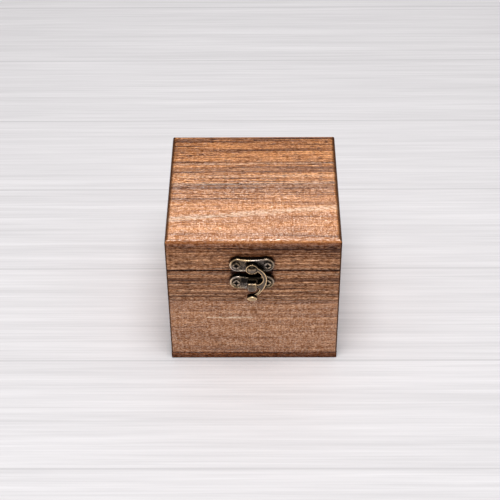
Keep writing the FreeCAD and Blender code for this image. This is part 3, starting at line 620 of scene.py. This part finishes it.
def bronze(
    name, skin=1.0, lift=1.0, patchy=0.30, proud=(), ring=None, golden=0.51, walls=0.0, painted_shade=(), slots=None,
    dulling=None, wear=1.0,
):
    """Antique bronze: black-brown skin, rubbed bright on the edges, darkest in hollows with patina and
    painted shade.

    skin is how pale the skin is, lift how much the edges are rubbed, wear how far in from the edge, and
    patchy how much the rest is. proud lists raised faces as (depth along Y, how much they are rubbed).
    The lower golden is, the more of the rubbed metal is gold and not grey. walls is how black painted
    shade makes the walls square to the front, the areas of painted shade are listed by their lowest and
    highest (X, Z) corners, and ring is the centre, the inner and the outer radius of a band of painted shade
    round an axis along Y. slots is the middle, the spread and the height of a pair of cross slots, round
    which painted shade is laid, and dulling is where along X the edges are dull and where they are bright.
    """
    look = bpy.context.scene.jack_bronze
    material, tree, shader, place = start_material(name)
    axes = split(tree, place)
    grime = noise(tree, place, *GRIME)
    mottle = noise(tree, place, *MOTTLE)
    tarnish = noise(tree, place, *TARNISH)
    tarnish = between(tree, tarnish, golden - TARNISH_SPREAD, golden + TARNISH_SPREAD)

    # Where the metal is rubbed
    rounded = eased_edges(tree, wear * look.wear_width, samples=12)
    surface = tree.nodes.new("ShaderNodeNewGeometry").outputs["Normal"]
    turn = combine(tree, "DOT_PRODUCT", rounded, surface)
    edge = between(tree, calculate(tree, "SUBTRACT", 1.0, turn), *EDGE_TURN)
    slope = calculate(tree, "ABSOLUTE", split(tree, own_normal(tree))[Y])
    rim = times(tree, between(tree, slope, *RIM_STEEP), between(tree, slope, *RIM_FLAT))
    edge = calculate(tree, "MAXIMUM", edge, rim)
    for depth, share in proud:
        face = between(tree, away_from(tree, axes[Y], depth), *FACE_DEPTH)
        edge = calculate(tree, "MAXIMUM", edge, times(tree, face, share))
    rubbed = times(tree, edge, between(tree, mottle, *MOTTLE_LIMITS))
    rubbed = calculate(tree, "MULTIPLY", rubbed, lift, clamp=True)
    if dulling is not None:
        kept = scaled(tree, between(tree, axes[X], *dulling), *DULLED_SHARE)
        rubbed = times(tree, rubbed, kept)
    patch = times(tree, between(tree, grime, *PATCH_LIMITS), patchy)

    # Painted shade: on walls square to the front, over the listed areas, round the cross slots and round the
    # rivet
    unshaded = dimmed(tree, between(tree, slope, *WALL_FACING), walls)
    for area in painted_shade:
        shaded_area = inside(tree, axes, area, SHADE_AREA_RIM)
        unshaded = times(tree, unshaded, dimmed(tree, shaded_area, SHADE_AREA_DEPTH))
    if slots is not None:
        middle, spread, height = slots
        across = away_from(tree, away_from(tree, axes[X], middle), spread)
        rise = away_from(tree, axes[Z], height)
        star = calculate(tree, "ADD", calculate(tree, "SQRT", across), calculate(tree, "SQRT", rise))
        tip = math.sqrt(look.slot_reach)
        unshaded = times(tree, unshaded, between(tree, star, SLOT_CORE * tip, tip))
    if ring is not None:
        (centre_x, centre_z), inner, outer = ring
        across = calculate(tree, "SUBTRACT", axes[X], centre_x)
        rise = calculate(tree, "SUBTRACT", axes[Z], centre_z)
        unshaded = times(tree, unshaded, between(tree, length_of(tree, across, rise), inner, outer))

    # Painted shade in the hollows deepens the patina there, and the rubbed wear does not reach in
    hollow = openness(tree, HOLLOW_REACH)
    reached = times(tree, between(tree, hollow, *RUBBED_HOLLOW), unshaded)
    bright = times(tree, calculate(tree, "MAXIMUM", rubbed, patch), reached)
    open_skin = times(tree, between(tree, hollow, *OPEN_HOLLOW), unshaded)
    coat = blend_colour(tree, open_skin, toned(look.patina, SHADE_AND_PATINA_TONE), toned(look.patina, skin))
    metal = blend_colour(tree, tarnish, look.dull, look.worn)
    feed(tree, shader.inputs["Base Color"], blend_colour(tree, bright, coat, metal))
    shader.inputs["Metallic"].default_value = BRONZE_METALLIC
    rough = scaled(tree, bright, RUBBED_GLOSS, scaled(tree, grime, *BRONZE_ROUGH))
    feed(tree, shader.inputs["Roughness"], rough)
    relieve(tree, shader, grime, strength=0.22, distance=0.10 * MM, Normal=rounded)
    return material


def beech(name):
    """Plain pale beech with short ray flecks."""
    look = bpy.context.scene.jack_figure
    material, tree, shader, place = start_material(name)
    bands = stretched_noise(tree, place, (14.0, 190.0, 190.0), detail=3.0, roughness=0.55)
    flecks = stretched_noise(tree, place, (420.0, 1500.0, 1500.0), detail=1.0, roughness=0.5)
    colour = ramp(tree, bands, ((0.30, look.beech_dark), (0.70, look.beech_light)))
    rays = times(tree, between(tree, flecks, 0.60, 0.68), 0.5)
    colour = blend_colour(tree, rays, colour, look.beech_ray)
    feed(tree, shader.inputs["Base Color"], colour)
    feed(tree, shader.inputs["Roughness"], scaled(tree, bands, 0.15, 0.48))
    eased = eased_edges(tree, radius=0.4 * MM)
    relieve(tree, shader, bands, strength=0.2, distance=0.1 * MM, Normal=eased)
    return material


def hand_paint(name, colour, gloss=0.36, extra=None):
    """Brushed enamel on turned wood, slightly uneven, with the turning showing through."""
    material, tree, shader, place = start_material(name)
    drift = noise(tree, place, scale=180.0, detail=3.0, roughness=0.55)
    turning = stretched_noise(tree, place, (30.0, 30.0, 1900.0), detail=2.0, roughness=0.5)
    coat = blend_colour(tree, between(tree, drift, 0.25, 0.75), toned(colour, 0.72), colour)
    if extra is not None:
        coat = extra(tree, place, coat)
    feed(tree, shader.inputs["Base Color"], coat)
    unevenness = 0.18
    feed(tree, shader.inputs["Roughness"], scaled(tree, drift, unevenness, gloss - unevenness / 2))
    relieve(tree, shader, turning, strength=0.25, distance=0.08 * MM)
    shader.inputs["Coat Weight"].default_value = 0.25
    shader.inputs["Coat Roughness"].default_value = 0.2
    return material


def painted_face(tree, place, coat):
    """Soft round cheeks and a plain curved mouth on the front of the ball head."""
    look = bpy.context.scene.jack_figure
    low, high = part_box("head")
    radius = (high.x - low.x) / 2
    middle = high.z - radius
    axes = split(tree, place)

    def fades(value, shares):
        begins, full = shares
        return between(tree, value, begins * radius, full * radius)

    front = fades(axes[Y], FACE_FRONT)
    side = calculate(tree, "ABSOLUTE", axes[X])
    across = calculate(tree, "SUBTRACT", side, CHEEK_SIDE * radius)
    rise = calculate(tree, "SUBTRACT", axes[Z], middle - CHEEK_DROP * radius)
    blush = times(tree, fades(length_of(tree, across, rise), CHEEK_FADE), front)
    coat = blend_colour(tree, times(tree, blush, BLUSH), coat, look.cheek)
    drop = calculate(tree, "SUBTRACT", axes[Z], middle + SMILE_RISE * radius)
    off_arc = away_from(tree, length_of(tree, side, drop), SMILE_RADIUS * radius)
    mouth = front
    for value, shares in ((off_arc, SMILE_LINE), (side, SMILE_ENDS), (drop, SMILE_BELOW)):
        mouth = times(tree, mouth, fades(value, shares))
    return blend_colour(tree, mouth, coat, look.cheek)


def spring_steel(name):
    """Bright drawn wire, a little uneven."""
    look = bpy.context.scene.jack_figure
    material, tree, shader, place = start_material(name)
    drawn = noise(tree, place, scale=700.0, detail=3.0, roughness=0.6)
    feed(tree, shader.inputs["Base Color"], blend_colour(tree, drawn, toned(look.steel, 0.6), look.steel))
    shader.inputs["Metallic"].default_value = 1.0
    feed(tree, shader.inputs["Roughness"], scaled(tree, drawn, 0.25, 0.22))
    return material


def felt(name, colour):
    """Thick wool felt with a soft matted surface."""
    material, tree, shader, place = start_material(name)
    matting = noise(tree, place, scale=1500.0, detail=6.0, roughness=0.7, distortion=0.6)
    lumps = noise(tree, place, scale=320.0, detail=3.0, roughness=0.6)
    shade = scaled(tree, matting, 0.6, times(tree, lumps, 0.4))
    coat = blend_colour(tree, between(tree, shade, 0.3, 0.7), toned(colour, 0.62), colour)
    feed(tree, shader.inputs["Base Color"], coat)
    shader.inputs["Roughness"].default_value = 0.95
    shader.inputs["Sheen Weight"].default_value = 0.35
    shader.inputs["Sheen Roughness"].default_value = 0.5
    relieve(tree, shader, matting, strength=0.55, distance=0.25 * MM)
    return material


# Modelling helpers


def clear_selection():
    if bpy.context.object is not None and bpy.context.object.mode != "OBJECT":
        bpy.ops.object.mode_set(mode="OBJECT")
    bpy.ops.object.select_all(action="DESELECT")


def settle(piece, name):
    """Name a new piece and put its place into its mesh."""
    clear_selection()
    piece.select_set(True)
    bpy.context.view_layer.objects.active = piece
    bpy.ops.object.transform_apply(location=True, rotation=True, scale=True)
    piece.name = name
    piece.data.name = name
    return piece


def apply_modifier(piece, kind, **settings):
    modifier = piece.modifiers.new(kind.title(), kind)
    for key, value in settings.items():
        setattr(modifier, key, value)
    bpy.context.view_layer.objects.active = piece
    bpy.ops.object.modifier_apply(modifier=modifier.name)


def select_points(piece, wanted):
    """In edit mode, select just the points that a test picks."""
    bpy.ops.mesh.select_mode(type="VERT")
    bpy.ops.mesh.select_all(action="DESELECT")
    bpy.ops.object.mode_set(mode="OBJECT")
    for point in piece.data.vertices:
        point.select = bool(wanted(point.co))
    bpy.ops.object.mode_set(mode="EDIT")


# Operators


class JACKBOX_OT_boards(bpy.types.Operator):
    """Give the boards of the box and the lid their walnut"""

    bl_idname = "jackbox.boards"
    bl_label = "Finish the boards"

    def execute(self, context):
        seam = (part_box("front_wall")[1].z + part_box("lid_front_rail")[0].z) / 2
        under_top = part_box("lid_top")[0].z
        over_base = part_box("front_wall")[0].z
        joints = (seam, under_top, over_base)
        top_marks = [self.streak(Y, WANDERING_SLOPE, WANDERING_STREAK)]
        top_marks += [self.streak(Y, TOP_SLOPE, band) for band in TOP_BANDS]
        front_marks = [self.streak(Z, 0.0, SHORT_STREAK, SHORT_SPAN)]
        front_marks += [self.streak(Z, FRONT_SLOPE, band) for band in FRONT_BANDS]
        paint(("lid_top",), walnut(
            "walnut_top", X, PLAIN_TINT, TOP_CALM, TOP_POLISH, marks=top_marks, edge_shade=0.58,
        ))
        paint(FRONT_BOARDS, walnut(
            "walnut_front", X, UPRIGHT_TINT, FRONT_CALM, shift=(0.031, 0.0, 0.0), joints=(seam, over_base),
            marks=front_marks, painted_shadows=self.clasp_shadows(), overhang=under_top,
        ))
        paint(BACK_BOARDS, walnut("walnut_back", X, UPRIGHT_TINT, shift=(0.217, 0.113, 0.0), joints=joints))
        paint(SIDE_BOARDS, walnut("walnut_side", Y, UPRIGHT_TINT, shift=(0.0, 0.143, 0.0), joints=joints))
        paint(("base_board",), walnut("walnut_base", X, BASE_TINT, shift=(0.5, 0.0, 0.2)))
        return {"FINISHED"}

    def streak(self, across, slope, band, span=WHOLE_BOARD):
        """What lay_streak needs for one band."""
        tone, centre, width, strength = band
        return {
            "tone": tone, "across": across, "centre": centre * MM, "slope": slope, "width": width * MM,
            "span": span, "strength": strength,
        }

    def clasp_shadows(self):
        """Painted shadows: a deep one in the gap between the clasp's plates, and a lighter one under the
        hook's pad.
        """
        catch_low, catch_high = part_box("catch_plate")
        gap_low = (catch_low.x, catch_high.z - 2.0 * MM)
        gap_high = (catch_high.x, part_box("hook_plate")[0].z + 1.0 * MM)
        hook_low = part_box("hook")[0]
        pad_low = (hook_low.x, hook_low.z - 2.6 * MM)
        pad_high = (hook_low.x + 9.4 * MM, hook_low.z + 3.0 * MM)
        return (0.90, gap_low, gap_high), (0.55, pad_low, pad_high)


class JACKBOX_OT_hardware(bpy.types.Operator):
    """Give the clasp, the hinges and their screws their antique bronze"""

    bl_idname = "jackbox.hardware"
    bl_label = "Finish the hardware"

    def execute(self, context):
        self.finish_plates()
        self.finish_hook()
        for name in CLASP_SCREWS:
            low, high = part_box(name)
            head_radius = (high.z - low.z) / 2
            # Painted shade round the cross slots of each screw head, and on its walls
            slots = ((low.x + high.x) / 2, (high.x - low.x) / 2 - head_radius, (low.z + high.z) / 2)
            paint((name,), bronze(
                name + "_bronze", skin=0.5, patchy=0.10, proud=((low.y, 0.45),), walls=0.8, slots=slots,
            ))
        paint(HINGE_METAL, bronze("hinge_bronze"))
        paint(HINGE_SCREWS, bronze("hinge_screw_bronze", lift=1.4))
        return {"FINISHED"}

    def finish_plates(self):
        rim_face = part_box("hook_plate")[0].y
        catch_low, catch_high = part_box("catch_plate")
        lip_face = catch_low.y
        middle = (catch_low.x + catch_high.x) / 2
        top = catch_high.z
        # Painted shadows that the hook and the hook plate throw on the catch plate, beside and over the
        # tongue, and painted shade on the walls
        by_tongue = ((middle - 7.4 * MM, top - 6.4 * MM), (middle - 1.9 * MM, top - 0.6 * MM))
        over_tongue = ((middle - 3.0 * MM, top - 2.6 * MM), (middle + 6.4 * MM, top + 1.0 * MM))
        paint(CLASP_PLATES, bronze(
            "plate_bronze", lift=1.7, proud=((rim_face, 0.34), (lip_face, 0.16)), walls=0.92,
            painted_shade=(by_tongue, over_tongue), dulling=(catch_high.x, catch_low.x),
        ))

    def finish_hook(self):
        pad_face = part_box("hook")[0].y
        low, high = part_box("hook_rivet")
        rivet_radius = (high.x - low.x) / 2
        rivet_axis = ((low.x + high.x) / 2, (low.z + high.z) / 2)
        # A band of painted shade on the hook round the rivet, and painted shade over the top of the rivet's
        # dome
        ring = (rivet_axis, rivet_radius + 0.1 * MM, rivet_radius + 0.6 * MM)
        rivet_top = ((low.x, low.z + 3.6 * MM), (high.x, high.z + 2.0 * MM))
        paint(("hook",), bronze(
            "hook_bronze", skin=2.0, lift=2.6, patchy=0.10, proud=((pad_face, 0.16),), ring=ring,
            golden=0.30, walls=0.92, wear=1.45,
        ))
        paint(("hook_rivet",), bronze(
            "rivet_bronze", skin=3.0, lift=0.7, patchy=0.15, golden=0.25, walls=0.95, painted_shade=(rivet_top,),
        ))


class JACKBOX_OT_spring(bpy.types.Operator):
    """Wind the coil spring, with its ends bent into the two discs"""

    bl_idname = "jackbox.spring"
    bl_label = "Wind the spring"

    def execute(self, context):
        look = context.scene.jack_figure
        low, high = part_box("spring")
        seat_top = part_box("spring_seat")[1].z
        plate_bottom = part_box("spring_plate")[0].z
        wire_radius = look.wire / 2
        coil_radius = (high.x - low.x) / 2 - wire_radius
        clearance = 0.1 * MM
        start = seat_top + clearance + wire_radius
        finish = plate_bottom - clearance - wire_radius
        rise = finish - start
        clear_selection()
        bpy.ops.mesh.primitive_circle_add(
            vertices=WIRE_SIDES, radius=wire_radius, location=(coil_radius, 0.0, start),
            rotation=(math.pi / 2, 0.0, 0.0),
        )
        piece = settle(context.object, "coil_spring")
        apply_modifier(
            piece, "SCREW", axis="Z", angle=2 * math.pi, screw_offset=rise / look.turns,
            iterations=look.turns, steps=STEPS_PER_TURN, render_steps=STEPS_PER_TURN,
            use_merge_vertices=False,
        )
        for height, side, tip in ((start, -1, low.z), (finish, 1, high.z)):
            leg = abs(tip - height) - look.leg_bend
            self.bend_end(piece, coil_radius, height, wire_radius, side, look.leg_bend, leg)
        bpy.ops.object.mode_set(mode="EDIT")
        bpy.ops.mesh.select_all(action="SELECT")
        bpy.ops.mesh.remove_doubles(threshold=WELD)
        bpy.ops.mesh.normals_make_consistent(inside=False)
        bpy.ops.object.mode_set(mode="OBJECT")
        bpy.ops.object.shade_smooth()
        paint((piece,), spring_steel("spring_steel"))
        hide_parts("spring")
        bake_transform(piece, "box", "jack", start=(0.0, 0.0, start), end=(0.0, 0.0, finish))
        self.share_stretch(piece, start, rise, look.turns)
        return {"FINISHED"}

    def bend_end(self, piece, coil_radius, height, wire_radius, side, bend, leg):
        """Turn the open end of the wire up or down on a small radius and run it straight into its hole."""
        reach = wire_radius * 1.01
        on_plane = 0.001 * MM

        def at_end(point):
            off = math.hypot(point.x - coil_radius, point.z - height)
            return abs(point.y) < on_plane and point.x > 0 and off < reach

        bpy.ops.object.mode_set(mode="EDIT")
        select_points(piece, at_end)
        bpy.ops.mesh.spin(
            steps=BEND_STEPS, angle=math.pi / 2, center=(coil_radius, 0.0, height + side * bend),
            axis=(1.0, 0.0, 0.0),
        )
        bpy.ops.mesh.extrude_region_move(TRANSFORM_OT_translate={"value": (0.0, 0.0, side * leg)})
        bpy.ops.mesh.edge_face_add()
        bpy.ops.object.mode_set(mode="OBJECT")

    def share_stretch(self, piece, start, rise, turns):
        """Let each slice of wire move as one, by its place along the coil, so the wire stays round."""
        weights = piece.data.attributes["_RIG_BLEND"].data
        pitch = rise / turns
        for index, point in enumerate(piece.data.vertices):
            angle = math.atan2(point.co.y, point.co.x) / (2 * math.pi)
            turn = round((point.co.z - start) / pitch - angle) + angle
            weights[index].value = min(1.0, max(0.0, turn / turns))


class JACKBOX_OT_ruff(bpy.types.Operator):
    """Pleat the felt ruff between the head and the shoulders"""

    bl_idname = "jackbox.ruff"
    bl_label = "Pleat the ruff"

    def execute(self, context):
        look = context.scene.jack_figure
        low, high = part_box("ruff")
        outer = (high.x - low.x) / 2
        hub = 9.6 * MM
        bore = 4.3 * MM
        thickness = 1.5 * MM
        under_head = 0.8 * MM
        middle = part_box("head")[0].z - under_head
        wave = (high.z - low.z - thickness) / 2
        clear_selection()
        bpy.ops.mesh.primitive_circle_add(
            vertices=look.pleats * POINTS_PER_PLEAT, radius=bore, location=(0.0, 0.0, middle)
        )
        piece = settle(context.object, "felt_ruff")
        bpy.ops.object.mode_set(mode="EDIT")
        bpy.ops.mesh.select_all(action="SELECT")
        radius = bore
        for ring in range(RUFF_RINGS):
            wider = bore + (outer - bore) * (ring + 1) / RUFF_RINGS
            bpy.ops.mesh.extrude_region_move()
            grow = wider / radius
            bpy.ops.transform.resize(value=(grow, grow, 1.0), center_override=(0.0, 0.0, middle))
            radius = wider
        bpy.ops.object.mode_set(mode="OBJECT")
        for point in piece.data.vertices:
            away = math.hypot(point.co.x, point.co.y)
            share = max(0.0, (away - hub) / (outer - hub))
            angle = math.atan2(point.co.y, point.co.x)
            point.co.z += wave * share * math.sin(angle * look.pleats)
        apply_modifier(piece, "SOLIDIFY", thickness=thickness, offset=0.0)
        apply_modifier(piece, "BEVEL", width=0.35 * MM, segments=2, limit_method="ANGLE")
        clear_selection()
        piece.select_set(True)
        context.view_layer.objects.active = piece
        bpy.ops.object.shade_smooth()
        paint((piece,), felt("ruff_felt", look.felt))
        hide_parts("ruff")
        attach(piece, "jack")
        return {"FINISHED"}


class JACKBOX_OT_figure(bpy.types.Operator):
    """Paint the turned pieces of the figure, and leave the discs of its spring plain"""

    bl_idname = "jackbox.figure"
    bl_label = "Paint the figure"

    def execute(self, context):
        look = context.scene.jack_figure
        paint(BEECH_PIECES, beech("plain_beech"))
        paint(("figure_body",), hand_paint("robe_paint", look.robe))
        paint(("head",), hand_paint("head_paint", look.skin, extra=painted_face))
        paint(("eyes",), hand_paint("eye_black", look.eyes, gloss=0.16))
        paint(("nose",), hand_paint("nose_paint", look.cheek, gloss=0.24))
        paint(("cap",), hand_paint("cap_paint", look.cap))
        paint(("cap_bead",), hand_paint("bead_paint", look.bead))
        return {"FINISHED"}


class JACKBOX_OT_stage(bpy.types.Operator):
    """Lay the pale floor, hang the soft lights and set the camera"""

    bl_idname = "jackbox.stage"
    bl_label = "Set the stage"

    def execute(self, context):
        look = context.scene.jack_stage
        self.lay_floor(look)
        for softbox in SOFTBOXES:
            self.hang_light(*softbox)
        self.set_world()
        self.set_camera(context, look)
        context.scene.view_settings.view_transform = "Standard"
        return {"FINISHED"}

    def lay_floor(self, look):
        """Whitewashed boards along X, each with its own streaks."""
        clear_selection()
        bpy.ops.mesh.primitive_plane_add(size=FLOOR_BREADTH, location=(0.0, 0.0, -FLOOR_DROP))
        floor = bpy.context.object
        floor.name = "floor"
        material, tree, shader, place = start_material("pale_floor")
        across = calculate(tree, "SUBTRACT", split(tree, place)[Y], look.board_start)
        count = calculate(tree, "DIVIDE", across, look.board_width)
        board = calculate(tree, "FLOOR", count)
        off_middle = away_from(tree, calculate(tree, "FRACT", count), 0.5)
        joint = between(tree, off_middle, *FLOOR_JOINT)
        own_place = add_node(tree, "ShaderNodeCombineXYZ", X=board).outputs[0]
        moved = combine(tree, "ADD", place, own_place)
        streaks = stretched_noise(tree, moved, (3.5, 150.0, 1.0), detail=5.0, roughness=0.65)
        brushing = stretched_noise(tree, moved, (9.0, 700.0, 1.0), detail=2.0, roughness=0.6)
        tone = scaled(tree, streaks, 0.6, times(tree, brushing, 0.4))
        shade, wash, gap = (toned(look.floor, share) for share in (0.90, 1.10, 0.84))
        coat = ramp(tree, tone, ((0.36, shade), (0.50, look.floor), (0.64, wash)))
        feed(tree, shader.inputs["Base Color"], blend_colour(tree, joint, coat, gap))
        shader.inputs["Roughness"].default_value = 0.8
        floor.data.materials.append(material)

    def hang_light(self, name, place, aim, breadth, power, lights_matt):
        lamp = bpy.data.lights.new(name, "AREA")
        lamp.shape = "ELLIPSE"
        lamp.size, lamp.size_y = breadth
        lamp.energy = power
        holder = bpy.data.objects.new(name, lamp)
        bpy.context.scene.collection.objects.link(holder)
        holder.location = place
        holder.rotation_euler = (Vector(aim) - Vector(place)).to_track_quat("-Z", "Y").to_euler()
        holder.visible_diffuse = lights_matt

    def set_world(self):
        world = bpy.data.worlds.new("studio")
        world.use_nodes = True
        bpy.context.scene.world = world
        backing = world.node_tree.nodes["Background"]
        backing.inputs["Color"].default_value = WORLD_COLOUR
        backing.inputs["Strength"].default_value = WORLD_STRENGTH

    def set_camera(self, context, look):
        camera = bpy.data.cameras.new("camera")
        camera.lens = look.lens
        camera.sensor_width = SENSOR_WIDTH
        camera.sensor_fit = "AUTO"
        camera.clip_start = NEAREST_SEEN
        holder = bpy.data.objects.new("camera", camera)
        context.scene.collection.objects.link(holder)
        eye = Vector(look.eye)
        heading = (Vector(look.target) - eye).to_track_quat("-Z", "Y").to_matrix().to_4x4()
        roll = Matrix.Rotation(look.roll, 4, "Z")
        holder.matrix_world = Matrix.Translation(eye) @ heading @ roll
        context.scene.camera = holder


class JACKBOX_PT_panel(bpy.types.Panel):
    """Lists the steps that dress the jack in the box, and their settings"""

    bl_idname = "JACKBOX_PT_panel"
    bl_label = "Jack Box"
    bl_space_type = "VIEW_3D"
    bl_region_type = "UI"
    bl_category = "Jack Box"

    def draw(self, context):
        for step in STEPS:
            self.layout.operator(step.bl_idname)
        for group in SETTINGS:
            settings = getattr(context.scene, group)
            for name in settings.bl_rna.properties.keys():
                if name not in ("rna_type", "name"):
                    self.layout.prop(settings, name)


SETTINGS = {
    "jack_walnut": WalnutFinish,
    "jack_bronze": BronzeFinish,
    "jack_figure": FigureFinish,
    "jack_stage": StageLook,
}
STEPS = (
    JACKBOX_OT_boards,
    JACKBOX_OT_hardware,
    JACKBOX_OT_spring,
    JACKBOX_OT_ruff,
    JACKBOX_OT_figure,
    JACKBOX_OT_stage,
)
CLASSES = tuple(SETTINGS.values()) + STEPS + (JACKBOX_PT_panel,)


def register():
    for item in CLASSES:
        bpy.utils.register_class(item)
    for name, group in SETTINGS.items():
        setattr(bpy.types.Scene, name, PointerProperty(type=group))


def unregister():
    for name in SETTINGS:
        delattr(bpy.types.Scene, name)
    for item in reversed(CLASSES):
        bpy.utils.unregister_class(item)


def main():
    register()
    bpy.ops.jackbox.boards()
    bpy.ops.jackbox.hardware()
    bpy.ops.jackbox.spring()
    bpy.ops.jackbox.ruff()
    bpy.ops.jackbox.figure()
    bpy.ops.jackbox.stage()


if __name__ == "__main__":
    main()
